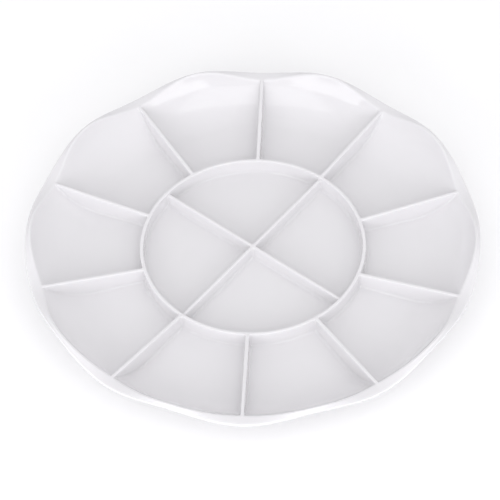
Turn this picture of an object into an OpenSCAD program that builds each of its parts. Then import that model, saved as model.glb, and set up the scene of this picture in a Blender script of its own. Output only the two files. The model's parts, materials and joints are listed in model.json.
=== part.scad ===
// Lazy susan: a divided serving dish that turns on a ball race over a low round base.
// Frame: +Z up, table at z = 0 under the rubber feet, the turning axis is the Z axis,
// and the first outer divider of the dish points along +Y.

/* [Dish] */
// Diameter of the dish across the rim
tray_d = 380; // [320:1:460]
// Thickness of the floor, the curved wall and the lip
wall_t = 2.7; // [2:0.1:3.5]
// Inside radius of the curved wall, in a section through the axis
wall_curve_r = 52.4; // [46:0.1:64]
// Mean height of the lip above the floor
lip_h = 26.75; // [22:0.25:30]
// Half the height from a valley of the lip to the top of a lobe
lip_wave = 4.85; // [0:0.05:6]
// How far the lip falls outwards at the top of a lobe
lip_fall = 1.5; // [0:0.1:2]
// Size of the rounded corner between the curved wall and the lip
lip_round = 1.3; // [0.6:0.1:1.5]
// Width of the lip at the top of a lobe, where it is narrowest
lip_min_w = 2.45; // [1.8:0.05:8]
// Number of outer dividers, and of lobes
divider_n = 10; // [6:1:12]
// Thickness of the outer dividers at their top
divider_t = 2.6; // [1.6:0.1:4]
// Step from the lip down to the outer end of a divider
divider_step = 0.3; // [0.2:0.1:3]
// Draft of the dividers and the ring wall, in degrees a side
draft = 1; // [0:0.25:2]

/* [Ring wall] */
// Outside diameter of the ring wall at its top
ring_d = 190; // [150:1:220]
// Thickness of the ring wall at its top
ring_t = 2.7; // [1.6:0.1:4]
// Height of the ring wall above the floor
ring_h = 14; // [10:0.5:18]
// Thickness of the two cross dividers at their top
cross_t = 2.6; // [1.6:0.1:4]
// Step from the ring wall down to the cross dividers
cross_drop = 2.4; // [0.5:0.1:6]

/* [Bearing] */
// Ball diameter
ball_d = 6; // [5:0.25:8]
// Diameter of the circle that the ball centres run on
track_d = 160; // [130:1:180]
// Width of each race ring
race_w = 14; // [12:0.5:18]
// Thickness of each race ring
race_t = 3; // [2.8:0.1:4]
// Gap between the two race rings
race_gap = 3; // [2.6:0.1:3.6]
// Play between a ball and the race grooves
ball_play = 0.1; // [0.05:0.05:0.2]
// Width of the ball cage
cage_w = 11; // [9:0.5:14]
// Thickness of the ball cage
cage_t = 1.6; // [1.2:0.1:1.8]
// Play between a ball and its pocket in the cage
pocket_play = 0.15; // [0.05:0.05:0.3]
// Thickness of the ribs that hold a race ring
race_rib_t = 2; // [1.2:0.1:3]
// Height of the ribs that hold a race ring
race_rib_h = 2.2; // [1:0.1:2.6]

/* [Pivot] */
// Diameter of the boss under the dish
boss_d = 14; // [12:0.5:18]
// Wall of the hub bush
bush_wall = 2; // [1.5:0.1:3]
// Thickness of the bush flange, which lies on the hub
bush_flange_t = 1.2; // [0.8:0.1:2]
// How far the bush flange stands out past the bush
bush_flange_w = 3; // [1.5:0.1:4]
// Length of the bush inside the hub
bush_l = 4.3; // [3:0.1:4.6]
// Thickness of the pivot washer
washer_t = 1.2; // [0.8:0.1:1.6]
// How far the pivot washer stands out past the boss
washer_lap = 3; // [2.2:0.1:3.6]
// Thread diameter of the pivot screw
screw_d = 4; // [3:0.5:5]
// Length of the pivot screw in the boss
screw_grip = 9; // [6:0.5:11]
// Head diameter of the pivot screw
screw_head_d = 9; // [7:0.5:11]
// Head height of the pivot screw
screw_head_h = 2; // [1.6:0.1:2.4]

/* [Base] */
// Diameter of the base
base_d = 216; // [180:1:240]
// Height of the base without its feet
base_h = 10; // [9.5:0.5:16]
// Thickness of the base plate
plate_t = 3; // [2.4:0.1:4]
// Thickness of the base skirt and the ribs under the plate
skirt_t = 2.5; // [2:0.1:4]
// Radius of the rounded top edge of the base
base_round = 2; // [0.5:0.25:2.4]
// Wall round the washer chamber in the hub
hub_wall = 3; // [2:0.25:5]
// Thickness of the hub cap
cap_t = 1.2; // [0.8:0.1:1.4]

/* [Feet] */
// Diameter of a rubber foot
foot_d = 18; // [12:0.5:22]
// How far a foot stands out under the base
foot_h = 2; // [1.5:0.25:4]
// Depth of the pocket that holds a foot
foot_pocket = 1.5; // [1:0.25:3]
// Distance from the edge of the base to the middle of a foot
foot_inset = 16; // [15:0.5:24]

/* [Fits] */
// Radial clearance between pieces that are pressed or glued together
press_c = 0.05; // [0.02:0.01:0.1]
// Radial clearance of the boss in the bush
run_c = 0.08; // [0.03:0.01:0.1]
// Clearance between pieces that turn past each other
turn_c = 0.3; // [0.25:0.05:0.6]

/* [Hidden] */
$fn = 96;

eps = 0.01;
ball_n = 16;
foot_n = 6;
cross_n = 2;
first_divider = 90;               // the first outer divider points along +Y

// heights, from the table up
plate_top = foot_h + base_h;
lower_race_top = plate_top + race_t;
ball_z = lower_race_top + race_gap / 2;
upper_race_bottom = lower_race_top + race_gap;
tray_bottom = upper_race_bottom + race_t;
floor_z = tray_bottom + wall_t;

// radii
rim_r = tray_d / 2;
ring_r = ring_d / 2;
ring_mid_r = ring_r - ring_t / 2;
track_r = track_d / 2;
ball_r = ball_d / 2;
race_in_r = track_r - race_w / 2;
race_out_r = track_r + race_w / 2;
base_r = base_d / 2;
foot_ring_r = base_r - foot_inset;

// pivot, from the boss outwards and down
bush_in_r = boss_d / 2 + run_c;
bush_out_r = bush_in_r + bush_wall;
bush_bottom = plate_top - bush_l;
boss_end = bush_bottom - turn_c;
washer_r = boss_d / 2 + washer_lap;
chamber_r = washer_r + 2;
hub_r = chamber_r + hub_wall;
screw_head_z = boss_end - washer_t - screw_head_h;

// the curved wall and the wavy lip; heights are above the dish floor
lip_edge_r = wall_t / 2;
stations = divider_n * 12;
wall_steps = 8;
corner_steps = 3;
edge_steps = 5;

function turn(k) = first_divider + 360 * k / divider_n;
function wave(a) = cos(divider_n * (a - first_divider));
function crest_h(a) = lip_h - lip_wave * wave(a);
function edge_h(a) = crest_h(a) - lip_fall * (1 - wave(a)) / 2;
valley_h = crest_h(first_divider);
lobe_h = lip_h + lip_wave;

// the flat floor ends where the wall's curve has to start, to leave the narrowest lip inside the rim
function curve_angle(r, h) = acos((wall_curve_r - h) / r);
lobe_turn = curve_angle(wall_curve_r, lobe_h - lip_round);
floor_r = rim_r - lip_min_w - wall_curve_r * sin(lobe_turn) - lip_round / tan(lobe_turn / 2);

// a point of the curved wall at the given distance from the centre of its curve
function curve_point(r, t) = [floor_r + r * sin(t), wall_curve_r - r * cos(t)];
function mix(a, b, u) = a + (b - a) * u;
function bend(a, b, c, u) = mix(mix(a, b, u), mix(b, c, u), u);

// inside face of the curved wall, from the floor up to the rounded corner
function wall_face(a) = let (t = curve_angle(wall_curve_r, crest_h(a) - lip_round))
    [for (i = [0:wall_steps]) curve_point(wall_curve_r, t * i / wall_steps)];

// rounded corner from the curved wall to the top of the lip
function wall_corner(a) =
    let (
        t = curve_angle(wall_curve_r, crest_h(a) - lip_round),
        start = curve_point(wall_curve_r, t),
        knee = start + lip_round * [cos(t), sin(t)] / sin(t),
        end = knee + [lip_round / sin(t), 0]
    )
    [for (i = [1:corner_steps]) bend(start, knee, end, i / corner_steps)];

// full round along the outer edge of the lip, from top to bottom
function lip_edge(a) = [
    for (i = [0:edge_steps])
        let (s = 90 - 180 * i / edge_steps)
        [rim_r - lip_edge_r + lip_edge_r * cos(s), edge_h(a) - lip_edge_r + lip_edge_r * sin(s)]
];

// outside face of the curved wall, from the lip down to the floor
function wall_back(a) =
    let (r = wall_curve_r + wall_t, t = curve_angle(r, edge_h(a) - wall_t))
    [for (i = [0:wall_steps]) curve_point(r, t * (1 - i / wall_steps))];

function section(a) = concat(wall_face(a), wall_corner(a), lip_edge(a), wall_back(a));

// floor, curved wall and lip as one closed shell of rings of points, one ring a profile point
module shell() {
    sections = [for (i = [0:stations - 1]) section(first_divider + 360 * i / stations)];
    rings = len(sections[0]);
    points = [
        for (j = [0:rings - 1], i = [0:stations - 1])
            let (a = first_divider + 360 * i / stations, p = sections[i][j])
            [p[0] * cos(a), p[0] * sin(a), p[1]]
    ];
    function at(j, i) = j * stations + i % stations;
    faces = concat(
        [[for (i = [stations - 1:-1:0]) at(0, i)]],
        [[for (i = [0:stations - 1]) at(rings - 1, i)]],
        [for (j = [0:rings - 2], i = [0:stations - 1]) [at(j, i), at(j, i + 1), at(j + 1, i + 1)]],
        [for (j = [0:rings - 2], i = [0:stations - 1]) [at(j, i), at(j + 1, i + 1), at(j + 1, i)]]
    );
    polyhedron(points, faces, convexity = 8);
}

// a rib that stands on the floor and thins upwards by the draft angle, along +X from the axis
module drafted_rib(t, h, length) {
    foot = wall_t / 2;
    top_w = t / 2;
    foot_w = top_w + (h + foot) * tan(draft);
    rotate([90, 0, 90])
        linear_extrude(length)
            polygon([[-foot_w, -foot], [foot_w, -foot], [top_w, h], [-top_w, h]]);
}

// side view of an outer divider, from the middle of the ring wall to the middle of the curved wall
module divider_side() {
    r = wall_curve_r + wall_t / 2;
    t = curve_angle(r, valley_h - divider_step);
    polygon(concat(
        [[ring_mid_r, -wall_t / 2]],
        [for (i = [0:wall_steps]) curve_point(r, t * i / wall_steps)],
        [[ring_mid_r, ring_h - eps]]
    ));
}

module outer_divider() {
    intersection() {
        drafted_rib(divider_t, valley_h, rim_r);
        rotate([90, 0, 0]) linear_extrude(4 * divider_t, center = true) divider_side();
    }
}

module ring_wall() {
    foot = wall_t / 2;
    flare = (ring_h + foot) * tan(draft);
    rotate_extrude()
        polygon([
            [ring_r - ring_t - flare, -foot], [ring_r + flare, -foot],
            [ring_r, ring_h], [ring_r - ring_t, ring_h]
        ]);
}

module cross_divider() {
    translate([-ring_mid_r, 0, 0])
        drafted_rib(cross_t, ring_h - cross_drop, 2 * ring_mid_r);
}

module round_wall(inner_r, t, bottom, top) {
    translate([0, 0, bottom])
        difference() {
            cylinder(r = inner_r + t, h = top - bottom);
            translate([0, 0, -1]) cylinder(r = inner_r, h = top - bottom + 2);
        }
}

// the two ribs that hold a race ring between them
module race_ribs(bottom, top) {
    round_wall(race_in_r - press_c - race_rib_t, race_rib_t, bottom, top);
    round_wall(race_out_r + press_c, race_rib_t, bottom, top);
}

module tray() {
    color("white") {
        translate([0, 0, floor_z]) {
            shell();
            ring_wall();
            for (k = [0:divider_n - 1]) rotate(turn(k)) outer_divider();
            for (k = [0:cross_n - 1]) rotate(turn(-1) + 90 * k) cross_divider();
        }
        race_ribs(tray_bottom - race_rib_h, tray_bottom + wall_t / 2);
        difference() {
            translate([0, 0, boss_end]) cylinder(d = boss_d, h = tray_bottom + wall_t / 2 - boss_end);
            translate([0, 0, boss_end - 1])
                cylinder(r = screw_d / 2 + press_c, h = screw_grip + 1.5);
        }
    }
}

module race(bottom) {
    difference() {
        round_wall(race_in_r, race_w, bottom, bottom + race_t);
        rotate_extrude() translate([track_r, ball_z]) circle(r = ball_r + ball_play);
    }
}

module upper_race() {
    color("gainsboro") race(upper_race_bottom);
}

module lower_race() {
    color("gainsboro") race(plate_top);
}

module at_ball(i) {
    rotate(first_divider + 360 * (i - 1) / ball_n) translate([track_r, 0, ball_z]) children();
}

module ball_cage() {
    color("darkorange")
        difference() {
            round_wall(track_r - cage_w / 2, cage_w, ball_z - cage_t / 2, ball_z + cage_t / 2);
            for (i = [1:ball_n]) at_ball(i) sphere(r = ball_r + pocket_play);
        }
}

module ball(i) {
    color("silver") at_ball(i) sphere(r = ball_r);
}

// turning outline of the base: plate, skirt and rounded top edge
module base_outline() {
    rotate_extrude()
        difference() {
            union() {
                translate([0, foot_h]) square([base_r - base_round, base_h]);
                translate([0, foot_h]) square([base_r, base_h - base_round]);
                translate([base_r - base_round, plate_top - base_round]) circle(r = base_round);
            }
            translate([-1, foot_h - 1]) square([base_r - skirt_t + 1, base_h - plate_t + 1]);
        }
}

module at_foot(i) {
    rotate(360 * (i - 1) / foot_n) translate([foot_ring_r, 0, 0]) children();
}

module base() {
    under_h = base_h - plate_t;
    boss_r = foot_d / 2 + press_c + 2;
    color("whitesmoke")
        difference() {
            union() {
                base_outline();
                race_ribs(plate_top - plate_t / 2, plate_top + race_rib_h);
                translate([0, 0, foot_h]) cylinder(r = hub_r, h = base_h - eps);
                for (i = [1:foot_n]) {
                    at_foot(i) translate([0, 0, foot_h]) cylinder(r = boss_r, h = under_h + plate_t / 2);
                    rotate(360 * (i - 0.5) / foot_n)
                        translate([hub_r - 1, -skirt_t / 2, foot_h + under_h / 3])
                            cube([base_r - skirt_t / 2 - hub_r + 1, skirt_t, under_h * 2 / 3 + plate_t / 2]);
                }
            }
            for (i = [1:foot_n])
                at_foot(i) translate([0, 0, foot_h - 1])
                    cylinder(r = foot_d / 2 + press_c, h = foot_pocket + 1);
            translate([0, 0, foot_h - 1]) cylinder(r = chamber_r, h = bush_bottom - foot_h + 1);
            cylinder(r = bush_out_r + press_c, h = plate_top + 1);
        }
}

module hub_bush() {
    color("ivory")
        difference() {
            union() {
                translate([0, 0, bush_bottom]) cylinder(r = bush_out_r, h = bush_l + eps);
                translate([0, 0, plate_top]) cylinder(r = bush_out_r + bush_flange_w, h = bush_flange_t);
            }
            translate([0, 0, bush_bottom - 1]) cylinder(r = bush_in_r, h = bush_l + bush_flange_t + 2);
        }
}

module pivot_washer() {
    color("silver")
        difference() {
            translate([0, 0, boss_end - washer_t]) cylinder(r = washer_r, h = washer_t);
            translate([0, 0, boss_end - washer_t - 1]) cylinder(r = screw_d / 2 + press_c, h = washer_t + 2);
        }
}

module pivot_screw() {
    slot_w = 1;
    slot_l = 5;
    slot_depth = 1.2;
    color("silver")
        difference() {
            union() {
                translate([0, 0, screw_head_z]) cylinder(d = screw_head_d, h = screw_head_h);
                translate([0, 0, screw_head_z + screw_head_h / 2])
                    cylinder(d = screw_d, h = screw_head_h / 2 + washer_t + screw_grip);
            }
            for (a = [0, 90])
                rotate(a) translate([-slot_l / 2, -slot_w / 2, screw_head_z - 1])
                    cube([slot_l, slot_w, slot_depth + 1]);
        }
}

module hub_cap() {
    lip_t = 0.8;
    cap_r = chamber_r - press_c;
    color("whitesmoke") {
        translate([0, 0, foot_h]) cylinder(r = cap_r, h = cap_t);
        round_wall(cap_r - lip_t, lip_t, foot_h + cap_t / 2, foot_h + cap_t + 1.2);
    }
}

module foot(i) {
    color("dimgray") at_foot(i) cylinder(d = foot_d, h = foot_h + foot_pocket);
}

tray();
upper_race();
ball_cage();
ball(1);  // ball_01
ball(2);  // ball_02
ball(3);  // ball_03
ball(4);  // ball_04
ball(5);  // ball_05
ball(6);  // ball_06
ball(7);  // ball_07
ball(8);  // ball_08
ball(9);  // ball_09
ball(10);  // ball_10
ball(11);  // ball_11
ball(12);  // ball_12
ball(13);  // ball_13
ball(14);  // ball_14
ball(15);  // ball_15
ball(16);  // ball_16
lower_race();
base();
hub_bush();
pivot_washer();
pivot_screw();
hub_cap();
foot(1);  // foot_1
foot(2);  // foot_2
foot(3);  // foot_3
foot(4);  // foot_4
foot(5);  // foot_5
foot(6);  // foot_6
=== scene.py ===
# %% [markdown]
# # A lazy susan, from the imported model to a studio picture
# The design comes in as a fixed frame: every CAD node sits where it belongs and rides on its own
# body. Everything made here is placed by that frame, so the dish still turns when the joint does.

# %% Frame and helpers
import json
import math

import bmesh
import bpy
import numpy as np
from mathutils import Matrix, Vector

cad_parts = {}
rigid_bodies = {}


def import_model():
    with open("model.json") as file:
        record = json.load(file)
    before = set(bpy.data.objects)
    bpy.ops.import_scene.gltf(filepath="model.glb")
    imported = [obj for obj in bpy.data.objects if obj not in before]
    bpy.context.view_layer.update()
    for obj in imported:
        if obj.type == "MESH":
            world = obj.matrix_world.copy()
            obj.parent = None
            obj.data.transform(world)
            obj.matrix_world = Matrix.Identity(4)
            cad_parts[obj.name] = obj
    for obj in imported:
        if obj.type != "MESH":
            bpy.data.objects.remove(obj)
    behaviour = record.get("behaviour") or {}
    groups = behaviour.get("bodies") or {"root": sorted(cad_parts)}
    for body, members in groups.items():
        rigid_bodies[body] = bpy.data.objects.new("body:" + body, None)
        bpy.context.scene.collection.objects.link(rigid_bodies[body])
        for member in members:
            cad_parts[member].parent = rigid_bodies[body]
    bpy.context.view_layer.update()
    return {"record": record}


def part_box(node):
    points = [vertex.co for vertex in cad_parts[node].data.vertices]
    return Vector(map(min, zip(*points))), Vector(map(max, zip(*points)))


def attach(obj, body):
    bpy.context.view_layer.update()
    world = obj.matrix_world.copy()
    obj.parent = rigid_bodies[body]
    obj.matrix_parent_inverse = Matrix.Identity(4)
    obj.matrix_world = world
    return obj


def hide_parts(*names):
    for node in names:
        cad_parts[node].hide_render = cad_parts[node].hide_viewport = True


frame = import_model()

MM = 0.001
tray_low, tray_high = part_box("tray")
print("dish box in mm:", [round(v / MM, 2) for v in (*tray_low, *tray_high)])

# %% [markdown]
# ## Sizes of the moulded dish
# The dish is one injection moulding. Its floor is flat, its outer wall curves up along an arc, and
# its lip rises and falls ten times, so that each divider ends in a valley and each compartment has
# a lobe. These few sizes drive every surface of it. They are in millimetres, and heights are above
# the dish floor.

# %% Driving sizes
rim_r = 190.0
lip_min_w = 2.45
wall_curve_r = 52.4
wall_t = 2.7
lip_h = 26.75
lip_wave = 4.85
lip_fall = 1.5
lip_round = 1.3
divider_n = 10
divider_half = 1.3
draft = math.tan(math.radians(1.0))
ring_r = 95.0
ring_half = 1.35
ring_h = 14.0
cross_half = 1.3
cross_h = 11.6
edge_round = 0.6
base_fillet = 2.2
corner_fillet = 1.6
hold_line = 0.5
valley_h = lip_h - lip_wave
lobe_h = lip_h + lip_wave
lobe_turn = math.acos((wall_curve_r - lobe_h + lip_round) / wall_curve_r)
floor_r = rim_r - lip_min_w - wall_curve_r * math.sin(lobe_turn) - lip_round / math.tan(lobe_turn / 2)
ring_mid = ring_r - ring_half
first_divider = math.pi / 2
sector = 2 * math.pi / divider_n
floor_z = tray_high.z / MM - lobe_h
print("dish floor is", round(floor_z, 2), "mm above the table")

# %% [markdown]
# ## How a moulded rib is drawn
# Every divider and the ring wall have the same section: a flat top, a rounded edge, a side that
# leans out by one degree so that the part leaves the mould, and a fillet where it meets the floor.
# The section is cut into levels, from the middle of the top down to the floor, and each level
# becomes one line of the mesh grid.

# %% Rib section
ROUND_STEPS = 4
SIDE_STEPS = 3
FILLET_STEPS = 6
TINY = 1e-9
SHOULDER = 1 + ROUND_STEPS
ANKLE = SHOULDER + SIDE_STEPS
LEVELS = ANKLE + FILLET_STEPS + 2

level = np.arange(LEVELS)
round_turn = np.clip((level - 1) / ROUND_STEPS, 0, 1)[:, None] * math.pi / 2
side_share = np.clip((level - SHOULDER) / SIDE_STEPS, 0, 1)[:, None]
fillet_turn = np.clip((level - ANKLE) / FILLET_STEPS, 0, 1)[:, None] * math.pi / 2


def rib_section(half, reference, top, base):
    """Offset from the rib's middle and height of every level, for rows of top and base heights.

    Half the thickness at a height is half, plus the draft times (reference - height). The top edge
    is a quarter circle of edge_round, the side a leaning line, and the fillet a hollow quarter
    circle of base_fillet. A rib lower than its rounding and fillet shrinks both by one share.
    """
    top, base = np.broadcast_arrays(np.atleast_1d(np.asarray(top, float)), np.asarray(base, float))
    rise = np.maximum(top - base, 0)[None]
    share = np.minimum(rise / (edge_round + base_fillet + hold_line), 1)
    shoulder = base + rise - share * edge_round
    ankle = base + share * base_fillet
    side_z = shoulder + (ankle - shoulder) * side_share
    foot = half + (reference - ankle) * draft
    in_fillet = fillet_turn > 0
    height = np.where(in_fillet, base + share * base_fillet * (1 - np.sin(fillet_turn)),
                      side_z + share * edge_round * np.cos(round_turn))
    offset = np.where(in_fillet, foot + base_fillet * (1 - np.cos(fillet_turn)),
                      half + (reference - side_z) * draft - edge_round * (1 - np.sin(round_turn)))
    offset[0] = 0
    offset[-1] = offset[-2] + hold_line
    return offset, height


def round_corner(a, b, radius):
    """Hollows the upright corner between two ribs, by moving the grid points near it.

    a[i] and b[j] are the distances of level i and level j from the two faces. The level of a
    point is k, the smaller index. Level k is an L with its corner at (a[k], b[k]), and its legs
    are joined by an arc of radius[k], half of it on each leg. Returns both distances, as rows of
    b and columns of a.
    """
    i, j = np.arange(len(a))[None, :], np.arange(len(b))[:, None]
    k = np.minimum(i, j)
    along_a, along_b = a[i] - a[k], b[j] - b[k]
    along = np.maximum(along_a, along_b)
    turn = math.pi / 4 * (1 - np.clip(along / np.maximum(radius[k], TINY), 0, 1))
    near, far = radius[k] * (1 - np.cos(turn)), radius[k] * (1 - np.sin(turn))
    on_a = along_a > along_b
    inside = along < radius[k]
    new_a = np.where(inside, a[k] + np.where(on_a, far, near), a[i])
    new_b = np.where(inside, b[k] + np.where(on_a, near, far), b[j])
    return new_a, new_b


print("levels in a rib section:", LEVELS)

# %% [markdown]
# ## The wavy lip
# The lip's height is a cosine of the angle, low at each divider. The wall below it is the same arc
# all round, cut off at that height, so the lip is wide in the valleys, where the arc is still far
# from the edge, and narrow on the lobes. The outer edge stays one circle in plan.

# %% Lip and wall
ARC_STEPS = 18
BEND_STEPS = 6
LIP_STEPS = 4
EDGE_STEPS = 10
BACK_STEPS = 14
edge_r = wall_t / 2


def wave(angle):
    """Cosine of ten times the angle from the first divider: 1 at a divider, -1 on a lobe."""
    return np.cos(divider_n * (angle - first_divider))


def crest(angle):
    """Height of the lip: its mean, less lip_wave times the wave."""
    return lip_h - lip_wave * wave(angle)


def outer_crest(angle):
    """Height of the lip at its outer edge: the crest, less a fall that is full on a lobe."""
    return crest(angle) - lip_fall * (1 - wave(angle)) / 2


def wall_end(angle):
    """Where the inside arc ends: its turn, and the radius and height of that point."""
    turn = np.arccos((wall_curve_r - crest(angle) + lip_round) / wall_curve_r)
    return turn, floor_r + wall_curve_r * np.sin(turn), crest(angle) - lip_round


def inside_arc(angle, u):
    """The wall's inside: a point at a share u of the arc's full turn."""
    turn = wall_end(angle)[0] * u
    return floor_r + wall_curve_r * np.sin(turn), wall_curve_r * (1 - np.cos(turn))


def lip_bend(angle, u):
    """A quadratic curve from the end of the arc, along its tangent, to the flat of the lip."""
    turn, start_r, start_z = wall_end(angle)
    knee_r = start_r + lip_round / np.tan(turn)
    stop_r = knee_r + lip_round / np.sin(turn)
    radius = (1 - u) ** 2 * start_r + 2 * u * (1 - u) * knee_r + u ** 2 * stop_r
    return radius, start_z + lip_round * (1 - (1 - u) ** 2)


def lip_flat(angle, u):
    """A straight line from the bend to where the outer edge's half round starts."""
    start_r = lip_bend(angle, 1.0)[0]
    return start_r + (rim_r - edge_r - start_r) * u, crest(angle) + (outer_crest(angle) - crest(angle)) * u


def lip_edge(angle, u):
    """The half round of the outer edge, from the top of the lip to its underside."""
    turn = math.pi * (0.5 - u)
    return (rim_r - edge_r + edge_r * np.cos(turn) + 0 * angle,
            outer_crest(angle) - edge_r + edge_r * np.sin(turn))


def outside_arc(angle, u):
    """The wall's outside, one wall thickness further out, from the lip down to the floor."""
    back_r = wall_curve_r + wall_t
    turn = np.arccos((back_r - outer_crest(angle)) / back_r) * (1 - u)
    return floor_r + back_r * np.sin(turn), wall_curve_r - back_r * np.cos(turn)


RIM_ROWS = (
    [(inside_arc, u) for u in np.linspace(0, 1, ARC_STEPS + 1)]
    + [(lip_bend, u) for u in np.linspace(0, 1, BEND_STEPS + 1)[1:]]
    + [(lip_flat, u) for u in np.linspace(0, 1, LIP_STEPS + 1)[1:]]
    + [(lip_edge, u) for u in np.linspace(0, 1, EDGE_STEPS + 1)[1:]]
    + [(outside_arc, u) for u in np.linspace(0, 1, BACK_STEPS + 1)]
)
TOP_RIM_ROWS = ARC_STEPS + 1 + BEND_STEPS + LIP_STEPS


def rim_rows(angles):
    """Radius and height of each row of the rim, at that row's own angles."""
    pairs = [shape(row, u) for (shape, u), row in zip(RIM_ROWS, angles)]
    return np.array([p[0] for p in pairs]), np.array([p[1] for p in pairs])


print("lip height above the floor, valley and lobe:", round(valley_h, 2), round(lobe_h, 2))

# %% [markdown]
# ## The outer compartments
# One grid covers all ten. Its rows are circles that grow outwards from the ring wall's top, over
# the lip and back underneath. Its columns follow the dividers: close together and parallel to the
# divider beside them, evenly spread over the open floor. Where a divider meets the ring wall, a
# point takes the higher of the two sections.

# %% Outer grid
OPEN_COLUMNS = 12
FLOOR_ROWS = 7


def divider_top(radius):
    """Height of a divider's top: a straight line from the ring wall's top to the lip's valley."""
    tip_r = lip_bend(first_divider, 0.5)[0]
    return ring_h + (valley_h - ring_h) * np.clip((radius - ring_mid) / (tip_r - ring_mid), 0, 1)


def corner_radii(faces, flush):
    """Radius of the upright corner at each level: corner_fillet less how far the face has moved
    out. Above the shoulder it grows with the edge's rounding if both tops are flush, and fades out
    if one rib ends below the other's top."""
    radius = np.maximum(corner_fillet - faces, 0)
    fade = np.clip(level / SHOULDER, 0, 1)
    radius[:SHOULDER] *= np.minimum(2 * fade, 1)[:SHOULDER] if flush else fade[:SHOULDER]
    return radius


def outer_grid():
    """Angle, radius and height of every point, in rows outwards and columns counter-clockwise."""
    ring_out, ring_z = (k[1:, 0] for k in rib_section(ring_half, ring_h, ring_h, 0.0))
    ring_row_r = ring_mid + ring_out
    floor_row_r = np.linspace(ring_row_r[-1], floor_r, FLOOR_ROWS + 1)[1:-1]
    flat_rows = len(ring_row_r) + len(floor_row_r)
    rows = flat_rows + len(RIM_ROWS)
    top_rows = flat_rows + TOP_RIM_ROWS
    valley_r, valley_z = rim_rows(np.full((len(RIM_ROWS), 1), first_divider))
    row_r = np.concatenate([ring_row_r, floor_row_r, valley_r[:, 0]])
    row_base = np.concatenate([np.zeros(flat_rows), valley_z[:, 0]])

    offset, ridge = rib_section(divider_half, valley_h, divider_top(row_r), row_base)
    offset, ridge = offset.T, ridge.T
    radius_near = np.repeat(row_r[:, None], LEVELS, 1)
    faces = offset[SHOULDER] - offset[SHOULDER, SHOULDER]
    ring_faces = np.r_[-ring_half, ring_out] - ring_out[SHOULDER - 1]
    a, b = round_corner(faces, ring_faces, corner_radii(faces, True))
    block = slice(0, LEVELS - 1)
    offset[block] = a[1:] + offset[block, SHOULDER:SHOULDER + 1]
    radius_near[block] = b[1:] + ring_row_r[SHOULDER - 1]
    offset[:, 0] = 0

    near = np.arcsin(offset / radius_near)
    near[top_rows:] = near[top_rows - 1]
    u = np.linspace(0, 1, OPEN_COLUMNS + 1)[1:-1]
    far = sector - near[:, ::-1]
    angle = np.concatenate([near, near[:, -1:] + (far[:, :1] - near[:, -1:]) * u, far[:, :-1]], 1)
    even = sector * np.arange(angle.shape[1]) / angle.shape[1]
    under = np.clip((np.arange(rows) - top_rows - EDGE_STEPS) / BACK_STEPS, 0, 1)[:, None]
    angle = angle + (even - angle) * under

    open_r = np.repeat(row_r[:, None], OPEN_COLUMNS - 1, 1)
    radius = np.concatenate([radius_near, open_r, radius_near[:, :0:-1]], 1)
    rim_radius, rim_z = rim_rows(first_divider + angle[flat_rows:])
    radius[flat_rows:] = rim_radius
    height = np.zeros_like(radius)
    height[flat_rows:] = rim_z
    rise = np.maximum(ridge - row_base[:, None], 0)
    rise[top_rows:] = 0
    height += np.concatenate([rise, 0 * open_r, rise[:, :0:-1]], 1)
    height[block] = np.maximum(height[block], ring_z[:, None])

    turns = first_divider + sector * np.arange(divider_n)
    angle = (turns[None, :, None] + angle[:, None, :]).reshape(rows, -1)
    return angle, np.tile(radius, divider_n), np.tile(height, divider_n)


outer_angle, outer_radius, outer_height = outer_grid()
print("outer grid, rows and columns:", outer_angle.shape)

# %% [markdown]
# ## The inner compartments
# Inside the ring wall two straight dividers cross. Near the wall the grid is round, like the outer
# one, and its columns follow the cross. Inside that, each quarter is a square grid: lines parallel
# to both dividers, bent over the open floor until they meet the circle. The cross is lower than
# the ring wall, so the wall has a few rows above it, and from there down both share their levels.

# %% Inner grid
OPEN_INNER = 10
row_gap = 0.25
cross_turn = first_divider - sector
cross_offset, cross_z = (k[:, 0] for k in rib_section(cross_half, cross_h, cross_h, 0.0))


def ring_inside():
    """Radius and height of the ring wall's inside rows, and the index of the first shared row."""
    out, z = (k[:, 0] for k in rib_section(ring_half, ring_h, ring_h, 0.0))
    high_z = np.array([(z[SHOULDER] + cross_h) / 2, cross_h + row_gap])
    low_z = cross_z[1:ANKLE + 1]
    side_z = np.concatenate([high_z, low_z])
    side_out = ring_half + (ring_h - side_z) * draft
    row_out = np.concatenate([out[1:SHOULDER + 1], side_out, out[ANKLE + 1:]])
    row_z = np.concatenate([z[1:SHOULDER + 1], side_z, z[ANKLE + 1:]])
    return ring_mid - row_out, row_z, SHOULDER + len(high_z) - 1


def inner_rows():
    """The round part of the inner grid: angle, radius and height, in rows inwards."""
    row_r, row_z, first_shared = ring_inside()
    rows = len(row_r)
    offset = np.repeat(cross_offset[None], rows, 0)
    radius_near = np.repeat(row_r[:, None], LEVELS, 1)
    block = slice(first_shared, rows)
    faces = cross_offset - cross_offset[SHOULDER]
    wall_face = row_r[first_shared + SHOULDER]
    a, b = round_corner(faces, wall_face - row_r[block], corner_radii(np.maximum(faces, 0), False))
    offset[block] = a + cross_offset[SHOULDER]
    offset[:, 0] = 0
    radius_near[block] = wall_face - b
    near = np.arcsin(offset / radius_near)
    u = np.linspace(0, 1, 2 * OPEN_INNER + 1)[1:-1]
    far = math.pi / 2 - near[:, ::-1]
    angle = np.concatenate([near, near[:, -1:] + (far[:, :1] - near[:, -1:]) * u, far[:, :-1]], 1)
    open_r = np.repeat(row_r[:, None], len(u), 1)
    radius = np.concatenate([radius_near, open_r, radius_near[:, :0:-1]], 1)
    height = np.concatenate([np.repeat(cross_z[None], rows, 0), 0 * open_r,
                             np.repeat(cross_z[None, :0:-1], rows, 0)], 1)
    height = np.maximum(height, row_z[:, None])
    turns = cross_turn + math.pi / 2 * np.arange(4)
    angle = (turns[None, :, None] + angle[:, None, :]).reshape(rows, -1)
    return angle, np.tile(radius, 4), np.tile(height, 4)


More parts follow.
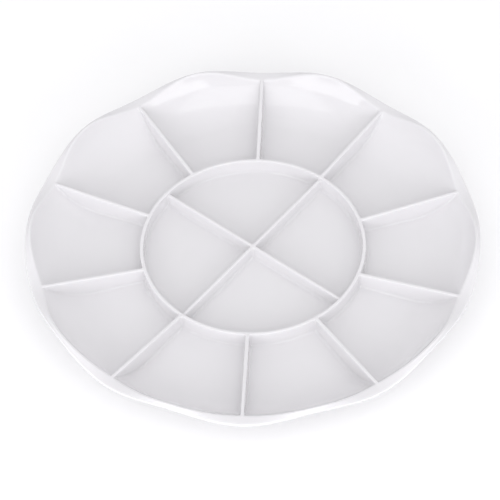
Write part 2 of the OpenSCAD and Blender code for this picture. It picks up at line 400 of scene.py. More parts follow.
def quarter_grid(circle_r):
    """One square grid between two arms of the cross: x, y and height, with the arms along x and y.

    Lines at rib levels are straight and end on the circle. The open part is a Coons patch: the
    sum of the two blends of its opposite sides, less the blend of its corners.
    """
    share = np.linspace(0, 1, OPEN_INNER + 1)
    last = cross_offset[-1]
    reach = np.sqrt(circle_r ** 2 - cross_offset ** 2)
    faces = cross_offset - cross_offset[SHOULDER]
    a, b = round_corner(faces, faces, corner_radii(faces, True))
    a, b = a + cross_offset[SHOULDER], b + cross_offset[SHOULDER]
    a[:, 0] = 0
    b[0, :] = 0
    strip = last + (reach[:, None] - last) * share
    start = math.asin(last / circle_r)
    low_turn = start + (math.pi / 4 - start) * share
    u, v = share[:, None], share[None, :]
    bottom, left = strip[-1][:, None], strip[-1][None, :]
    right_x, right_y = circle_r * np.cos(low_turn)[None], circle_r * np.sin(low_turn)[None]
    top_x, top_y = circle_r * np.sin(low_turn)[:, None], circle_r * np.cos(low_turn)[:, None]
    corner = circle_r * math.sqrt(0.5)
    far_end = strip[-1, -1]
    x = ((1 - v) * bottom + v * top_x + (1 - u) * last + u * right_x
         - ((1 - u) * (1 - v) * last + u * (1 - v) * far_end + (1 - u) * v * last + u * v * corner))
    y = ((1 - v) * last + v * top_y + (1 - u) * left + u * right_y
         - ((1 - u) * (1 - v) * last + u * (1 - v) * last + (1 - u) * v * far_end + u * v * corner))
    n = LEVELS + OPEN_INNER
    grid_x, grid_y = np.zeros((n, n)), np.zeros((n, n))
    grid_x[:LEVELS, :LEVELS], grid_y[:LEVELS, :LEVELS] = a.T, b.T
    grid_x[:LEVELS, LEVELS:], grid_y[:LEVELS, LEVELS:] = cross_offset[:, None], strip[:, 1:]
    grid_x[LEVELS:, :LEVELS], grid_y[LEVELS:, :LEVELS] = strip.T[1:], cross_offset[None]
    grid_x[LEVELS:, LEVELS:], grid_y[LEVELS:, LEVELS:] = x[1:, 1:], y[1:, 1:]
    z = np.r_[cross_z, np.zeros(OPEN_INNER)]
    return grid_x, grid_y, np.maximum(z[:, None], z[None, :])


inner_angle, inner_radius, inner_height = inner_rows()
print("inner rows and columns:", inner_angle.shape)

# %% [markdown]
# ## The underside
# Under the floor there are two low ribs, which hold the bearing's upper race between them, and the
# pivot boss with the screw's blind hole. All of it is turned, so it is one profile. Corners get a
# small round, because a mould has no sharp ones.

# %% Turned profiles
def rounded(corners, size, steps=3):
    """A profile with its inner corners rounded: each corner is replaced by a quadratic curve that
    starts and ends size before and after it, or a third of the way along a shorter side."""
    p = np.asarray(corners, float)
    back, ahead = p[:-2] - p[1:-1], p[2:] - p[1:-1]
    back_l = np.linalg.norm(back, axis=1)[:, None]
    ahead_l = np.linalg.norm(ahead, axis=1)[:, None]
    cut = np.minimum(size, np.minimum(back_l, ahead_l) / 3)
    start = p[1:-1] + back / back_l * cut
    stop = p[1:-1] + ahead / ahead_l * cut
    u = np.linspace(0, 1, steps + 1)[None, :, None]
    curve = (1 - u) ** 2 * start[:, None] + 2 * u * (1 - u) * p[1:-1, None] + u ** 2 * stop[:, None]
    return np.concatenate([p[:1], curve.reshape(-1, 2), p[-1:]])


race_low, race_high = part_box("upper_race")
screw_low, screw_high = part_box("pivot_screw")
washer_low, washer_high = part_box("pivot_washer")
press_gap = 0.05
race_w = 14.0
race_out_r = race_high.x / MM
race_in_r = race_out_r - race_w
rib_t = 2.0
race_rib_h = 2.2
rib_end = -wall_t - race_rib_h
boss_r = 7.0
boss_end = washer_high.z / MM - floor_z
shank_r = 2.0
hole_r = shank_r + press_gap
hole_tip_r = 0.4
hole_spare = 0.5
hole_end = screw_high.z / MM - floor_z + hole_spare
under_floor = -wall_t
under_round = 0.5
under_profile = rounded([
    (floor_r, under_floor),
    (race_out_r + press_gap + rib_t, under_floor), (race_out_r + press_gap + rib_t, rib_end),
    (race_out_r + press_gap, rib_end), (race_out_r + press_gap, under_floor),
    (race_in_r - press_gap, under_floor), (race_in_r - press_gap, rib_end),
    (race_in_r - press_gap - rib_t, rib_end), (race_in_r - press_gap - rib_t, under_floor),
    (boss_r, under_floor), (boss_r, boss_end), (hole_r, boss_end), (hole_r, hole_end),
    (hole_tip_r, hole_end)], under_round)
print("points in the underside's profile:", len(under_profile))

# %% [markdown]
# ## Joining the grids into one closed skin
# A grid becomes faces by joining each point to its neighbours in the next row and column. The inner
# and outer grids have different columns, so a band of triangles joins them along the flat top of
# the ring wall: each point, in order of angle, is joined to the last point passed on the other side.

# %% Grids and bands
def grid_faces(index, wrap):
    """Quads between neighbouring rows and columns of an index array. wrap closes the columns."""
    if wrap:
        index = np.concatenate([index, index[:, :1]], 1)
    return np.stack([index[:-1, :-1], index[1:, :-1], index[1:, 1:], index[:-1, 1:]], -1).reshape(-1, 4)


def zip_rings(inner, inner_turn, outer, outer_turn):
    """Triangles between two rings of points, given their indices and their angles.

    Each step along one ring makes a triangle with the other ring's last point before the step's
    end, so the triangles fill the band without a gap or an overlap."""
    inner_turn, outer_turn = np.mod(inner_turn, 2 * math.pi), np.mod(outer_turn, 2 * math.pi)
    inner, inner_turn = inner[np.argsort(inner_turn)], np.sort(inner_turn)
    outer, outer_turn = outer[np.argsort(outer_turn)], np.sort(outer_turn)
    next_in, next_out = np.roll(np.arange(len(inner)), -1), np.roll(np.arange(len(outer)), -1)
    apex_out = np.searchsorted(outer_turn, inner_turn[next_in], "left") - 1
    apex_in = np.searchsorted(inner_turn, outer_turn[next_out], "right") - 1
    return np.concatenate([
        np.stack([inner, outer[apex_out], inner[next_in]], -1),
        np.stack([outer, outer[next_out], inner[apex_in]], -1)])


def polar(angle, radius, height):
    """Points from angle, radius and height."""
    return np.stack([radius * np.cos(angle), radius * np.sin(angle), height + 0 * angle], -1).reshape(-1, 3)


def turn_about_z(x, y, z, turn):
    """Points from x, y and z, turned about the vertical axis by one angle."""
    cos, sin = math.cos(turn), math.sin(turn)
    return np.stack([x * cos - y * sin, x * sin + y * cos, z], -1).reshape(-1, 3)


print("columns of the two grids:", outer_angle.shape[1], "and", inner_angle.shape[1])

# %% [markdown]
# ## From points to an object
# A mesh is filled fastest from whole arrays: all the points, then the corners of all the faces in
# one row, and where in that row each face starts. Points that lie on each other are welded. The
# signed volume tells whether the faces look outwards. In a closed skin each edge belongs to exactly
# two faces, so every piece prints how many of its edges are open.

# %% New pieces
made = []


def new_piece(name, points, face_sets, slot, body, weld=0.0):
    """A mesh object from points in millimetres and arrays of faces. It rides a body, unless it is
    only a tool for a Boolean, which has none."""
    mesh = bpy.data.meshes.new(name)
    loops = np.concatenate([f.ravel() for f in face_sets])
    sizes = np.concatenate([np.full(len(f), f.shape[1]) for f in face_sets])
    mesh.vertices.add(len(points))
    mesh.vertices.foreach_set("co", (np.asarray(points) * MM).astype(np.float32).ravel())
    mesh.loops.add(len(loops))
    mesh.loops.foreach_set("vertex_index", loops.astype(np.int32))
    mesh.polygons.add(len(sizes))
    mesh.polygons.foreach_set("loop_start", np.r_[0, np.cumsum(sizes)[:-1]].astype(np.int32))
    mesh.polygons.foreach_set("use_smooth", np.ones(len(sizes), bool))
    mesh.update(calc_edges=True)
    mesh.validate()
    if weld:
        work = bmesh.new()
        work.from_mesh(mesh)
        bmesh.ops.remove_doubles(work, verts=work.verts, dist=weld * MM)
        work.to_mesh(mesh)
        work.free()
    if signed_volume(mesh) < 0:
        mesh.flip_normals()
    piece = bpy.data.objects.new(name, mesh)
    bpy.context.scene.collection.objects.link(piece)
    if body:
        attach(piece, body)
        made.append((piece, slot))
    print(name, len(mesh.polygons), "faces,", int(np.sum(edge_use(mesh) != 2)), "open edges")
    return piece


def signed_volume(mesh):
    """Volume inside a mesh: the sum over its triangles of a . (b x c) / 6, negative if inside out."""
    mesh.calc_loop_triangles()
    place = np.zeros(len(mesh.vertices) * 3, np.float32)
    corner = np.zeros(len(mesh.loop_triangles) * 3, np.int32)
    mesh.vertices.foreach_get("co", place)
    mesh.loop_triangles.foreach_get("vertices", corner)
    a, b, c = place.reshape(-1, 3)[corner.reshape(-1, 3)].astype(float).transpose(1, 0, 2)
    return np.sum(a * np.cross(b, c)) / 6


def edge_use(mesh):
    """How many faces use each edge."""
    edges = np.zeros(len(mesh.loops), np.int32)
    mesh.loops.foreach_get("edge_index", edges)
    return np.bincount(edges, minlength=len(mesh.edges))


# %% [markdown]
# ## The dish as one mesh
# All the grids go into one list of points. Where two grids meet they share a line of points, so
# welding the points that lie on each other closes the skin. A ring of triangles to one point in
# the middle closes the blind hole.

# %% The dish as one mesh
WELD_REACH = 0.0002


def build_dish():
    """Welds the outer grid, the inner grids and the underside into the dish's one skin."""
    even = outer_angle[-1]
    under_angle = np.repeat(even[None], len(under_profile) - 1, 0)
    under_r = np.repeat(under_profile[1:, 0][:, None], len(even), 1)
    under_z = np.repeat(under_profile[1:, 1][:, None], len(even), 1)
    outer = polar(np.concatenate([outer_angle, under_angle]), np.concatenate([outer_radius, under_r]),
                  np.concatenate([outer_height, under_z]))
    outer_index = np.arange(len(outer)).reshape(-1, len(even))
    inner = polar(inner_angle, inner_radius, inner_height)
    inner_index = len(outer) + np.arange(len(inner)).reshape(inner_angle.shape)
    circle_r = inner_radius[-1, 0]
    x, y, z = quarter_grid(circle_r)
    turns = cross_turn + math.pi / 2 * np.arange(4)
    quarters = np.concatenate([turn_about_z(x, y, z, turn) for turn in turns])
    quarter_index = len(outer) + len(inner) + np.arange(len(quarters)).reshape(4, *x.shape)
    pole = len(outer) + len(inner) + len(quarters)
    last = outer_index[-1]
    points = np.concatenate([outer, inner, quarters, [[0, 0, hole_end]]])
    points[:, 2] += floor_z
    quads = [grid_faces(outer_index, True), grid_faces(inner_index, True)[:, ::-1]]
    quads += [grid_faces(k, False) for k in quarter_index]
    band = zip_rings(inner_index[0], inner_angle[0], outer_index[0], outer_angle[0])
    cap = np.stack([last, np.full(len(last), pole), np.roll(last, -1)], -1)
    return new_piece("dish", points, [np.concatenate(quads), band, cap], "dish_white", "dish",
                     WELD_REACH)


dish = build_dish()
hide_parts("tray")

# %% [markdown]
# ## Turned pieces
# Races, balls, feet and most of the base are bodies of revolution: a profile carried round an axis.
# Their corners are rounded in the profile, so that every edge catches a line of light.

# %% Turned pieces
def turned_points(profile, axis=(0, 0), columns=128):
    """A profile of (radius, height) carried round a vertical axis, with the faces of the grid.

    Rows follow the profile and columns the turn. A profile that starts and ends on the axis closes
    there, and any other closes on itself."""
    p = np.asarray(profile, float)
    solid = p[0, 0] == 0
    turn = np.arange(columns) * 2 * math.pi / columns
    rings = p[1:-1] if solid else p
    points = polar(turn[None], rings[:, :1], rings[:, 1:])
    index = np.arange(len(points)).reshape(len(rings), columns)
    if not solid:
        index = np.concatenate([index, index[:1]])
        faces = [grid_faces(index, True)]
    else:
        first, last = index[0], index[-1]
        start, stop = np.full(columns, len(points)), np.full(columns, len(points) + 1)
        points = np.concatenate([points, [[0, 0, p[0, 1]], [0, 0, p[-1, 1]]]])
        faces = [grid_faces(index, True), np.stack([start, first, np.roll(first, -1)], -1),
                 np.stack([last, stop, np.roll(last, -1)], -1)]
    points[:, :2] += axis
    return points, faces


def closed(corners, size, steps=3):
    """A profile that closes on itself, with every corner rounded."""
    p = np.asarray(corners, float)
    return rounded(np.concatenate([p[-1:], p, p[:1]]), size, steps)[1:-1]


# %% [markdown]
# ## The races
# Two flat steel rings guide the balls, one under the dish and one on the base. Each has a groove
# turned into the face that looks at the balls, and the groove's arc is a little larger than a ball.

# %% Races
BALL_PLAY = 0.1
GROOVE_POINTS = 13
RACE_ROUND = 0.3
ball_low, ball_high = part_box("ball_01")
ball_r = (ball_high.z - ball_low.z) / MM / 2
ball_z = (ball_high.z + ball_low.z) / MM / 2


def race_profile(low, high, groove_top):
    """A race ring's section: a rectangle with a groove, a little larger than the ball, in one face."""
    groove_r = ball_r + BALL_PLAY
    outer = high.x / MM
    inner = outer - race_w
    track = (outer + inner) / 2
    face, back = (high.z / MM, low.z / MM) if groove_top else (low.z / MM, high.z / MM)
    half = math.sqrt(groove_r ** 2 - (face - ball_z) ** 2)
    sweep = math.asin(half / groove_r)
    turn = np.linspace(sweep, -sweep, GROOVE_POINTS)
    side = -1 if groove_top else 1
    groove = np.stack([track + groove_r * np.sin(turn), ball_z + side * groove_r * np.cos(turn)], -1)
    first, last = tuple(groove[0]), tuple(groove[-1])
    corners = rounded([(inner, back), (outer, back), (outer, face), first], RACE_ROUND)[1:]
    rest = rounded([last, (inner, face), (inner, back), (outer, back)], RACE_ROUND)[:-1]
    ring = np.concatenate([corners[:-1], groove, rest[1:]])
    return ring if groove_top else ring[::-1]


lower_low, lower_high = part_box("lower_race")
upper_race = new_piece("upper_race_ring", *turned_points(race_profile(race_low, race_high, False)),
                       "race_steel", "dish")
lower_race = new_piece("lower_race_ring", *turned_points(race_profile(lower_low, lower_high, True)),
                       "race_steel", "base")
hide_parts("upper_race")
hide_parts("lower_race")

# %% [markdown]
# ## The base
# The base is a shallow round moulding, open below. Its plate, skirt, hub and the ribs that hold the
# lower race are one turned section, and its sizes come from the pieces that it holds.

# %% Section of the base
TOP_EDGE_POINTS = 7
bush_low, bush_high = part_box("hub_bush")
base_low, base_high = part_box("base")
base_r, base_bottom, base_top = base_high.x / MM, base_low.z / MM, base_high.z / MM
plate_t = 3.0
plate_top = lower_low.z / MM
plate_bottom = plate_top - plate_t
plate_mid = plate_top - plate_t / 2
skirt_t, hub_r, socket_wall = 2.5, 15.0, 2.0
run_gap, bush_wall = 0.08, 2.0
bush_bore = boss_r + run_gap
bush_body = bush_bore + bush_wall
bore_r = bush_body + press_gap
bore_bottom = bush_low.z / MM
chamber_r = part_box("hub_cap")[1].x / MM + press_gap
inner_rib, outer_rib = race_in_r - press_gap, race_out_r + press_gap
top_edge_r, base_round, socket_round, bar_round = 2.0, 0.5, 0.4, 0.6
top_turn = np.linspace(0, math.pi / 2, TOP_EDGE_POINTS)
top_edge = np.stack([base_r - top_edge_r * (1 - np.sin(top_turn)),
                     plate_top - top_edge_r * (1 - np.cos(top_turn))], -1)
base_section = closed([
    (bore_r, plate_top), (inner_rib - rib_t, plate_top), (inner_rib - rib_t, base_top),
    (inner_rib, base_top), (inner_rib, plate_top), (outer_rib, plate_top), (outer_rib, base_top),
    (outer_rib + rib_t, base_top), (outer_rib + rib_t, plate_top), *map(tuple, top_edge),
    (base_r, base_bottom), (base_r - skirt_t, base_bottom), (base_r - skirt_t, plate_bottom),
    (hub_r, plate_bottom), (hub_r, base_bottom), (chamber_r, base_bottom), (chamber_r, bore_bottom),
    (bore_r, bore_bottom)], base_round)
print("points in the base's section:", len(base_section))

# %% [markdown]
# ## Ribs, sockets and one skin
# Six straight ribs and six sockets for the feet stiffen the base from below. Each is first a closed
# body that runs a little into the plate, and an exact Boolean union makes one skin of them all.
# The new edges are marked sharp if they turn by more than a set angle.

# %% Base
FOOT_NAMES = [f"foot_{k}" for k in range(1, 7)]
SHARP_TURN = math.radians(38)
SOCKET_COLUMNS = 64
BASE_COLUMNS = 192


def straight_rib(turn, start, stop, wide, low, high):
    """A bar along a radius: a section with two rounded lower corners, carried from start to stop."""
    half = wide / 2
    section = rounded([(-half, high), (-half, low), (half, low), (half, high)], bar_round)
    along = np.array([start, stop])[:, None]
    x = np.repeat(along, len(section), 1).ravel()
    y, z = np.tile(section[:, 0], 2), np.tile(section[:, 1], 2)
    points = turn_about_z(x, y, z, turn)
    index = np.arange(len(points)).reshape(2, -1)
    return points, [grid_faces(index, True), index[:1], index[1:, ::-1]]


def join_shapes(shapes):
    """Several sets of points and faces as one set."""
    starts = np.cumsum([0] + [len(points) for points, _ in shapes])
    faces = [f + start for (_, sets), start in zip(shapes, starts) for f in sets]
    return np.concatenate([points for points, _ in shapes]), faces


def combine(piece, tool, operation):
    """One skin made from two closed pieces by an exact Boolean. The tool piece is used up."""
    step = piece.modifiers.new("combine", "BOOLEAN")
    step.operation, step.solver, step.object = operation, "EXACT", tool
    bpy.context.view_layer.update()
    skin = bpy.data.meshes.new_from_object(piece.evaluated_get(bpy.context.evaluated_depsgraph_get()))
    piece.modifiers.remove(step)
    piece.data = skin
    skin.set_sharp_from_angle(angle=SHARP_TURN)
    bpy.data.objects.remove(tool)
    print(piece.name, "combined:", len(skin.polygons), "faces,",
          int(np.sum(edge_use(skin) != 2)), "open edges")


def centre_of(name):
    """Where the middle of a node is in plan, in millimetres."""
    low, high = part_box(name)
    return (low.x + high.x) / MM / 2, (low.y + high.y) / MM / 2


foot_low, foot_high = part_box(FOOT_NAMES[0])
socket_r = (foot_high.x - foot_low.x) / MM / 2 + press_gap
socket_top = foot_high.z / MM
socket_section = rounded([
    (0, plate_mid), (socket_r + socket_wall, plate_mid), (socket_r + socket_wall, base_bottom),
    (socket_r, base_bottom), (socket_r, socket_top), (0, socket_top)], socket_round)
rib_clear_share, rib_sink = 3, 1.0
rib_low = base_bottom + (plate_bottom - base_bottom) / rib_clear_share
rib_turns = 2 * math.pi / len(FOOT_NAMES) * (np.arange(len(FOOT_NAMES)) + 0.5)
stiffeners = [turned_points(socket_section, centre_of(name), SOCKET_COLUMNS) for name in FOOT_NAMES]
stiffeners += [straight_rib(turn, hub_r - rib_sink, base_r - skirt_t / 2, skirt_t, rib_low, plate_mid)
               for turn in rib_turns]
base = new_piece("base_shell", *turned_points(base_section, columns=BASE_COLUMNS), "base_white", "base")
combine(base, new_piece("stiffeners", *join_shapes(stiffeners), None, None), "UNION")
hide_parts("base")

# %% [markdown]
# ## Balls and cage
# Sixteen steel balls run in a nylon cage. A ball is half a circle carried round its own upright
# axis. The cage is a flat ring, and a Boolean difference with sixteen slightly larger balls cuts
# the pockets in it.

# %% Balls and cage
BALL_NAMES = [f"ball_{k:02d}" for k in range(1, 17)]
HALF_CIRCLE_POINTS = 33
BALL_COLUMNS = 64
POCKET_COLUMNS = 48
CAGE_COLUMNS = 256


def ball_profile(radius, height):
    """Half a circle, from the lowest point on the axis to the highest."""
    turn = np.linspace(-math.pi / 2, math.pi / 2, HALF_CIRCLE_POINTS)[1:-1]
    return [(0, height - radius), *zip(radius * np.cos(turn), height + radius * np.sin(turn)),
            (0, height + radius)]


pocket_play, cage_w, cage_round = 0.15, 11.0, 0.3
half_circle = ball_profile(ball_r, ball_z)
for name in BALL_NAMES:
    ball = new_piece("steel_" + name, *turned_points(half_circle, centre_of(name), BALL_COLUMNS),
                     "ball_steel", name)
    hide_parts(name)
pocket = ball_profile(ball_r + pocket_play, ball_z)
pockets = [turned_points(pocket, centre_of(name), POCKET_COLUMNS) for name in BALL_NAMES]
cage_low, cage_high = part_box("ball_cage")
cage_r, cage_bottom, cage_top = cage_high.x / MM, cage_low.z / MM, cage_high.z / MM
cage_section = closed([(cage_r - cage_w, cage_bottom), (cage_r, cage_bottom), (cage_r, cage_top),
                       (cage_r - cage_w, cage_top)], cage_round)
cage = new_piece("cage_ring", *turned_points(cage_section, columns=CAGE_COLUMNS), "cage_plastic", "cage")
combine(cage, new_piece("pockets", *join_shapes(pockets), None, None), "DIFFERENCE")
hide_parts("ball_cage")

# %% [markdown]
# ## Bush and washer
# The dish turns on a boss that runs in a plastic bush, and a washer under the boss keeps the two
# together. Both are turned rings, and the bush has a collar that rests on the base's plate.

# %% Bush and washer
PIVOT_COLUMNS = 96
pivot_round = 0.25
bush_r, bush_top = bush_high.x / MM, bush_high.z / MM
bush_section = closed([
    (bush_bore, bore_bottom), (bush_body, bore_bottom), (bush_body, plate_top), (bush_r, plate_top),
    (bush_r, bush_top), (bush_bore, bush_top)], pivot_round)
bush = new_piece("bush_sleeve", *turned_points(bush_section, columns=PIVOT_COLUMNS),
                 "bush_plastic", "base")
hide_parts("hub_bush")

washer_r, washer_bottom, washer_top = washer_high.x / MM, washer_low.z / MM, washer_high.z / MM
washer_section = closed([(hole_r, washer_bottom), (washer_r, washer_bottom), (washer_r, washer_top),
                         (hole_r, washer_top)], pivot_round)
washer = new_piece("washer_disc", *turned_points(washer_section, columns=PIVOT_COLUMNS),
                   "plated_steel", "dish")
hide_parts("pivot_washer")

# %% [markdown]
# ## Screw
# The screw holds the washer to the boss. It has a rounded head, and two crossed bars cut its
# recess. Its thread is plain ridges, turned with the rest: inside the boss a true helix would
# never be seen.

# %% Screw
HEAD_STEPS = 6
head_r, head_bottom, screw_end = screw_high.x / MM, screw_low.z / MM, screw_high.z / MM
head_round, tip_h = 0.7, 0.5
pitch, thread_depth = 0.7, 0.3
recess_l, recess_w, recess_depth, recess_spare = 5.0, 1.0, 1.2, 1.0
ridge = np.arange(washer_top + pitch, screw_end - pitch, pitch / 2)
thread = np.stack([shank_r - thread_depth * (np.arange(len(ridge)) % 2), ridge], -1)
head = rounded([(0, head_bottom), (head_r, head_bottom), (head_r, washer_bottom),
                (shank_r, washer_bottom), (shank_r, washer_top)], head_round, HEAD_STEPS)
tip = [(shank_r - thread_depth, screw_end - tip_h), (shank_r - 2 * thread_depth, screw_end),
       (0, screw_end)]
screw_section = np.concatenate([head, thread, tip])
screw = new_piece("screw_pan_head", *turned_points(screw_section, columns=PIVOT_COLUMNS),
                  "plated_steel", "dish")
for turn in (0, math.pi / 2):
    slot = straight_rib(turn, -recess_l / 2, recess_l / 2, recess_w, head_bottom - recess_spare,
                        head_bottom + recess_depth)
    combine(screw, new_piece("recess", *slot, None, None), "DIFFERENCE")
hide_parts("pivot_screw")

# %% [markdown]
# ## Feet
# Each foot is a soft rubber button, pressed into its socket. Its lower edge is well rounded, and it
# is dished in the middle, so that only a ring of it touches the table.

# %% Feet
FOOT_COLUMNS = 64
FOOT_STEPS = 5
dish_rim, dish_slope, foot_dish, foot_round = 3.8, 0.7, 0.5, 0.8


def foot_profile(low, high):
    """A rubber button: flat top, straight side, well rounded lower edge and a dished underside."""
    radius, bottom, top = (high.x - low.x) / MM / 2, low.z / MM, high.z / MM
    return rounded([(0, bottom + foot_dish), (radius - dish_rim - dish_slope, bottom + foot_dish),
                    (radius - dish_rim, bottom), (radius, bottom), (radius, top), (0, top)],
                   foot_round, FOOT_STEPS)


for name in FOOT_NAMES:
    button = turned_points(foot_profile(*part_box(name)), centre_of(name), FOOT_COLUMNS)
    foot = new_piece("rubber_" + name, *button, "foot_rubber", "base")
    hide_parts(name)

# %% [markdown]
# ## Hub cap
# A shallow pressed-in cap closes the screw's chamber from below. It has a thin lip round its upper
# side, which grips the chamber's wall, and a slightly sunk middle.

# %% Hub cap
cap_low, cap_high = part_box("hub_cap")
cap_r, cap_bottom, cap_top = cap_high.x / MM, cap_low.z / MM, cap_high.z / MM
cap_t, cap_lip_t, cap_dish, cap_rim, cap_slope, cap_round = 1.2, 0.8, 0.3, 2.4, 0.6, 0.35
cap_section = rounded([
    (0, cap_bottom + cap_dish), (cap_r - cap_rim - cap_slope, cap_bottom + cap_dish),
    (cap_r - cap_rim, cap_bottom), (cap_r, cap_bottom), (cap_r, cap_top), (cap_r - cap_lip_t, cap_top),
    (cap_r - cap_lip_t, cap_bottom + cap_t), (0, cap_bottom + cap_t)], cap_round)
hub_cap = new_piece("hub_cap_disc", *turned_points(cap_section, columns=PIVOT_COLUMNS),
                    "base_white", "base")
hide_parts("hub_cap")

# %% [markdown]
# ## Finishes
# Plastic is never one flat colour: a gloss moulding has a faint orange peel that bends its
# reflections, and a satin one has a fine grain. Turned steel has rings about its axis. All of it is
# made of noise on Object coordinates, so that it stays put in every view.

# %% A finish from noise
PLASTIC_IOR = 1.49
BROAD_DETAIL = 3
FINE_DETAIL = 2
RING_SCALE = 900
RING_WOBBLE = 0.6
# A Mix node has one set of sockets for each data type. These are the colour ones.
MIX_FACTOR, MIX_A, MIX_B, MIX_RESULT = 0, 6, 7, 2


def finish(name, colour, roughness, metallic=0.0, mottle=(12.0, 0.03), rough_spread=0.04,
           grain=(900.0, 0.00001), rings=0.0):
    """A shader whose colour, roughness and relief vary with noise over the object.

    mottle is the noise scale a metre and how far it darkens the colour, grain the noise scale and
    the depth of the relief in metres, and rings the depth of the lines that turning leaves."""
    material = bpy.data.materials.new(name)
    material.use_nodes = True
    nodes, links = material.node_tree.nodes, material.node_tree.links
    shader = nodes["Principled BSDF"]
    shader.inputs["Metallic"].default_value = metallic
    shader.inputs["IOR"].default_value = PLASTIC_IOR
    place = nodes.new("ShaderNodeTexCoord")

    def noise(scale, detail):
        texture = nodes.new("ShaderNodeTexNoise")
        texture.inputs["Scale"].default_value = scale
        texture.inputs["Detail"].default_value = detail
        links.new(place.outputs["Object"], texture.inputs["Vector"])
        return texture.outputs["Fac"]

    broad = noise(mottle[0], BROAD_DETAIL)
    tint = nodes.new("ShaderNodeMix")
    tint.data_type = "RGBA"
    tint.inputs[MIX_A].default_value = (*colour, 1)
    tint.inputs[MIX_B].default_value = (*[c * (1 - mottle[1]) for c in colour], 1)
    links.new(broad, tint.inputs[MIX_FACTOR])
    links.new(tint.outputs[MIX_RESULT], shader.inputs["Base Color"])

    spread = nodes.new("ShaderNodeMapRange")
    spread.inputs["To Min"].default_value = roughness - rough_spread
    spread.inputs["To Max"].default_value = roughness + rough_spread
    links.new(broad, spread.inputs["Value"])
    links.new(spread.outputs["Result"], shader.inputs["Roughness"])

    relief = nodes.new("ShaderNodeBump")
    relief.inputs["Distance"].default_value = grain[1]
    links.new(noise(grain[0], FINE_DETAIL), relief.inputs["Height"])
    if rings:
        lines = nodes.new("ShaderNodeTexWave")
        lines.wave_type, lines.rings_direction = "RINGS", "Z"
        lines.inputs["Scale"].default_value = RING_SCALE
        lines.inputs["Distortion"].default_value = RING_WOBBLE
        links.new(place.outputs["Object"], lines.inputs["Vector"])
        turned = nodes.new("ShaderNodeBump")
        turned.inputs["Distance"].default_value = rings
        links.new(lines.outputs["Fac"], turned.inputs["Height"])
        links.new(relief.outputs["Normal"], turned.inputs["Normal"])
        relief = turned
    links.new(relief.outputs["Normal"], shader.inputs["Normal"])
    return material


# %% [markdown]
# ## One finish for each material
# The dish is a glossy, slightly see-through white, so light spreads a few millimetres inside it and
# softens the shade in its corners. The base is satin, the races turned, the balls polished.

# %% Finishes
FINISHES = {
    "dish_white": finish("gloss white moulding", (0.755, 0.747, 0.758), 0.045, mottle=(9.0, 0.01),
                         rough_spread=0.01, grain=(140.0, 0.000003)),
    "base_white": finish("satin white moulding", (0.78, 0.78, 0.81), 0.42, mottle=(20.0, 0.03),
                         grain=(1600.0, 0.00002)),
    "race_steel": finish("turned zinc steel", (0.60, 0.61, 0.64), 0.30, metallic=1.0, mottle=(60.0, 0.2),
                         rings=0.00001),
    "ball_steel": finish("polished ball steel", (0.74, 0.75, 0.77), 0.08, metallic=1.0,
                         mottle=(300.0, 0.06), rough_spread=0.02),
    "cage_plastic": finish("natural nylon", (0.76, 0.69, 0.52), 0.45, mottle=(80.0, 0.08),
                           grain=(1200.0, 0.00002)),
    "bush_plastic": finish("natural acetal", (0.82, 0.79, 0.70), 0.35, mottle=(80.0, 0.05)),
    "plated_steel": finish("bright zinc plate", (0.66, 0.67, 0.70), 0.24, metallic=1.0,
                           mottle=(500.0, 0.18)),
    "foot_rubber": finish("matt grey rubber", (0.045, 0.045, 0.05), 0.72, mottle=(200.0, 0.25),
                          grain=(2500.0, 0.00004)),
}
dish_shader = FINISHES["dish_white"].node_tree.nodes["Principled BSDF"]
dish_shader.inputs["Subsurface Weight"].default_value = 0.35
dish_shader.inputs["Subsurface Radius"].default_value = (1.0, 1.0, 1.0)
dish_shader.inputs["Subsurface Scale"].default_value = 0.004
print("finishes:", len(FINISHES))

# %% [markdown]
# ## Finishes on the pieces
# Every CAD node and every piece made here gets the material of its slot.

# %% Finishes on the pieces
for part in frame["record"]["subparts"]:
    skin = bpy.data.objects[part["node"]].data.materials
    skin.clear()
    skin.append(FINISHES[part["material_slot"]])
for piece, slot in made:
    piece.data.materials.append(FINISHES[slot])
print("pieces with a finish:", len(made))

# %% [markdown]
# ## Table
# The dish stands on a sheet of white paper, which is wide enough to fill the view. The sheet shines
# a little, so that it prints as paper white away from the dish and still takes a soft shadow.

# %% Floor
floor_mesh = bpy.data.meshes.new("studio_floor")
floor_half = 6.0
floor_mesh.from_pydata([(-floor_half, -floor_half, 0), (floor_half, -floor_half, 0),
                        (floor_half, floor_half, 0), (-floor_half, floor_half, 0)], [], [(0, 1, 2, 3)])
floor = bpy.data.objects.new("studio_floor", floor_mesh)
bpy.context.scene.collection.objects.link(floor)
paper = finish("paper floor", (0.92, 0.92, 0.92), 0.9, mottle=(2.0, 0.01))
paper_shader = paper.node_tree.nodes["Principled BSDF"]
paper_shader.inputs["Emission Color"].default_value = (1, 1, 1, 1)
paper_shader.inputs["Emission Strength"].default_value = 0.08
floor_mesh.materials.append(paper)

# %% [markdown]
# ## Light
# White on white is lit softly from all round. The strongest lamp is a wide one high in front, and
# a weak one hangs overhead. Two small ones, low at the front left and right, show as bright panels
# in the gloss of the far wall. Three more even out the walls and are hidden from the gloss.

# %% Light
world = bpy.data.worlds.new("studio")
bpy.context.scene.world = world
world.use_nodes = True
sky = world.node_tree.nodes["Background"]
sky.inputs["Color"].default_value = (0.98, 0.975, 1.0, 1)
sky.inputs["Strength"].default_value = 0.73


def lamp_place(side, height, distance):
    """A place at an angle to the right of the front, at an angle of height, in degrees."""
    side, height = math.radians(side), math.radians(height)
    return Vector((math.sin(side) * math.cos(height), -math.cos(side) * math.cos(height),
                   math.sin(height))) * distance


LAMP_AIM = Vector((0, 0, 0.03))
WHITE, LAVENDER = (1.0, 1.0, 1.0), (0.94, 0.93, 1.0)
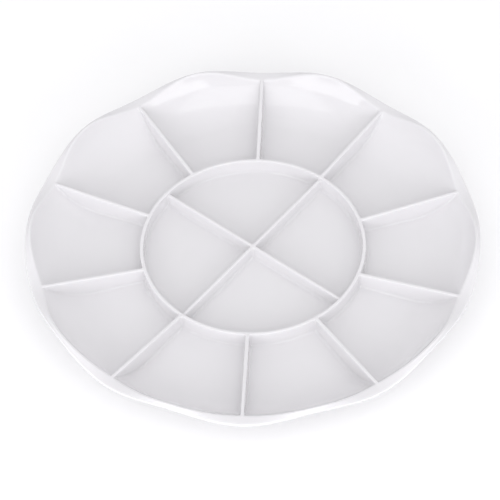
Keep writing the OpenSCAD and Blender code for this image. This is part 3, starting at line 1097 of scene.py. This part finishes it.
# name, place in metres, width and height, power in watts, colour, seen in the gloss
LAMPS = [
    ("front_right", lamp_place(38, 25, 1.8), (0.82, 0.66), 3.8, WHITE, True),
    ("front_left", lamp_place(-35, 24, 1.8), (0.98, 0.74), 5.0, WHITE, True),
    ("front_top", Vector((0.0, -1.5, 2.2)), (2.4, 1.8), 15.0, WHITE, True),
    ("overhead", Vector((0.0, 0.0, 2.4)), (2.2, 2.2), 1.5, WHITE, True),
    ("front_low", lamp_place(0, 15, 2.2), (1.4, 0.8), 9.0, LAVENDER, False),
    ("back_mid", lamp_place(180, 40, 2.4), (2.0, 1.0), 3.5, WHITE, False),
    ("right_high", lamp_place(90, 55, 2.4), (1.6, 1.6), 2.5, WHITE, False),
]
for name, place, (width, height), power, colour, in_gloss in LAMPS:
    lamp = bpy.data.lights.new(name, "AREA")
    lamp.shape = "RECTANGLE"
    lamp.size = width
    lamp.size_y = height
    lamp.energy = power
    lamp.color = colour
    softbox = bpy.data.objects.new(name, lamp)
    bpy.context.scene.collection.objects.link(softbox)
    softbox.location = place
    softbox.rotation_euler = (LAMP_AIM - place).to_track_quat("-Z", "Y").to_euler()
    softbox.visible_glossy = in_gloss
print("lamps:", len(LAMPS))

# %% [markdown]
# ## Camera
# A long lens, nearly two metres away, looks down on the dish at about fifty degrees, so that the
# dividers and the far wall both show. It aims at the middle of the ring wall's top, a few
# millimetres off centre, and is rolled by two degrees.

# %% Camera
azimuth, elevation, roll = math.radians(4.41), math.radians(51.10), math.radians(-2.22)
distance, focal_length, sensor_width = 1.9747, 169.2, 36.0
aim_left, aim_down = 0.00235, 0.00492
back = Vector((math.sin(azimuth) * math.cos(elevation), -math.cos(azimuth) * math.cos(elevation),
               math.sin(elevation)))
right = Matrix.Rotation(roll, 3, back) @ Vector((math.cos(azimuth), math.sin(azimuth), 0))
up = back.cross(right)
ring_top = Vector((0, 0, (floor_z + ring_h) * MM))
eye = ring_top - aim_left * right - aim_down * up + distance * back
lens = bpy.data.cameras.new("camera")
lens.sensor_width = sensor_width
lens.lens = focal_length
camera = bpy.data.objects.new("camera", lens)
bpy.context.scene.collection.objects.link(camera)
camera.matrix_world = Matrix.Translation(eye) @ Matrix((right, up, back)).transposed().to_4x4()
bpy.context.scene.camera = camera
print("camera is", distance, "m from the dish")

# %% [markdown]
# ## Print
# The Standard view transform prints each tone as it is. A film-like curve would make the white
# paper grey.

# %% Print
bpy.context.scene.view_settings.view_transform = "Standard"
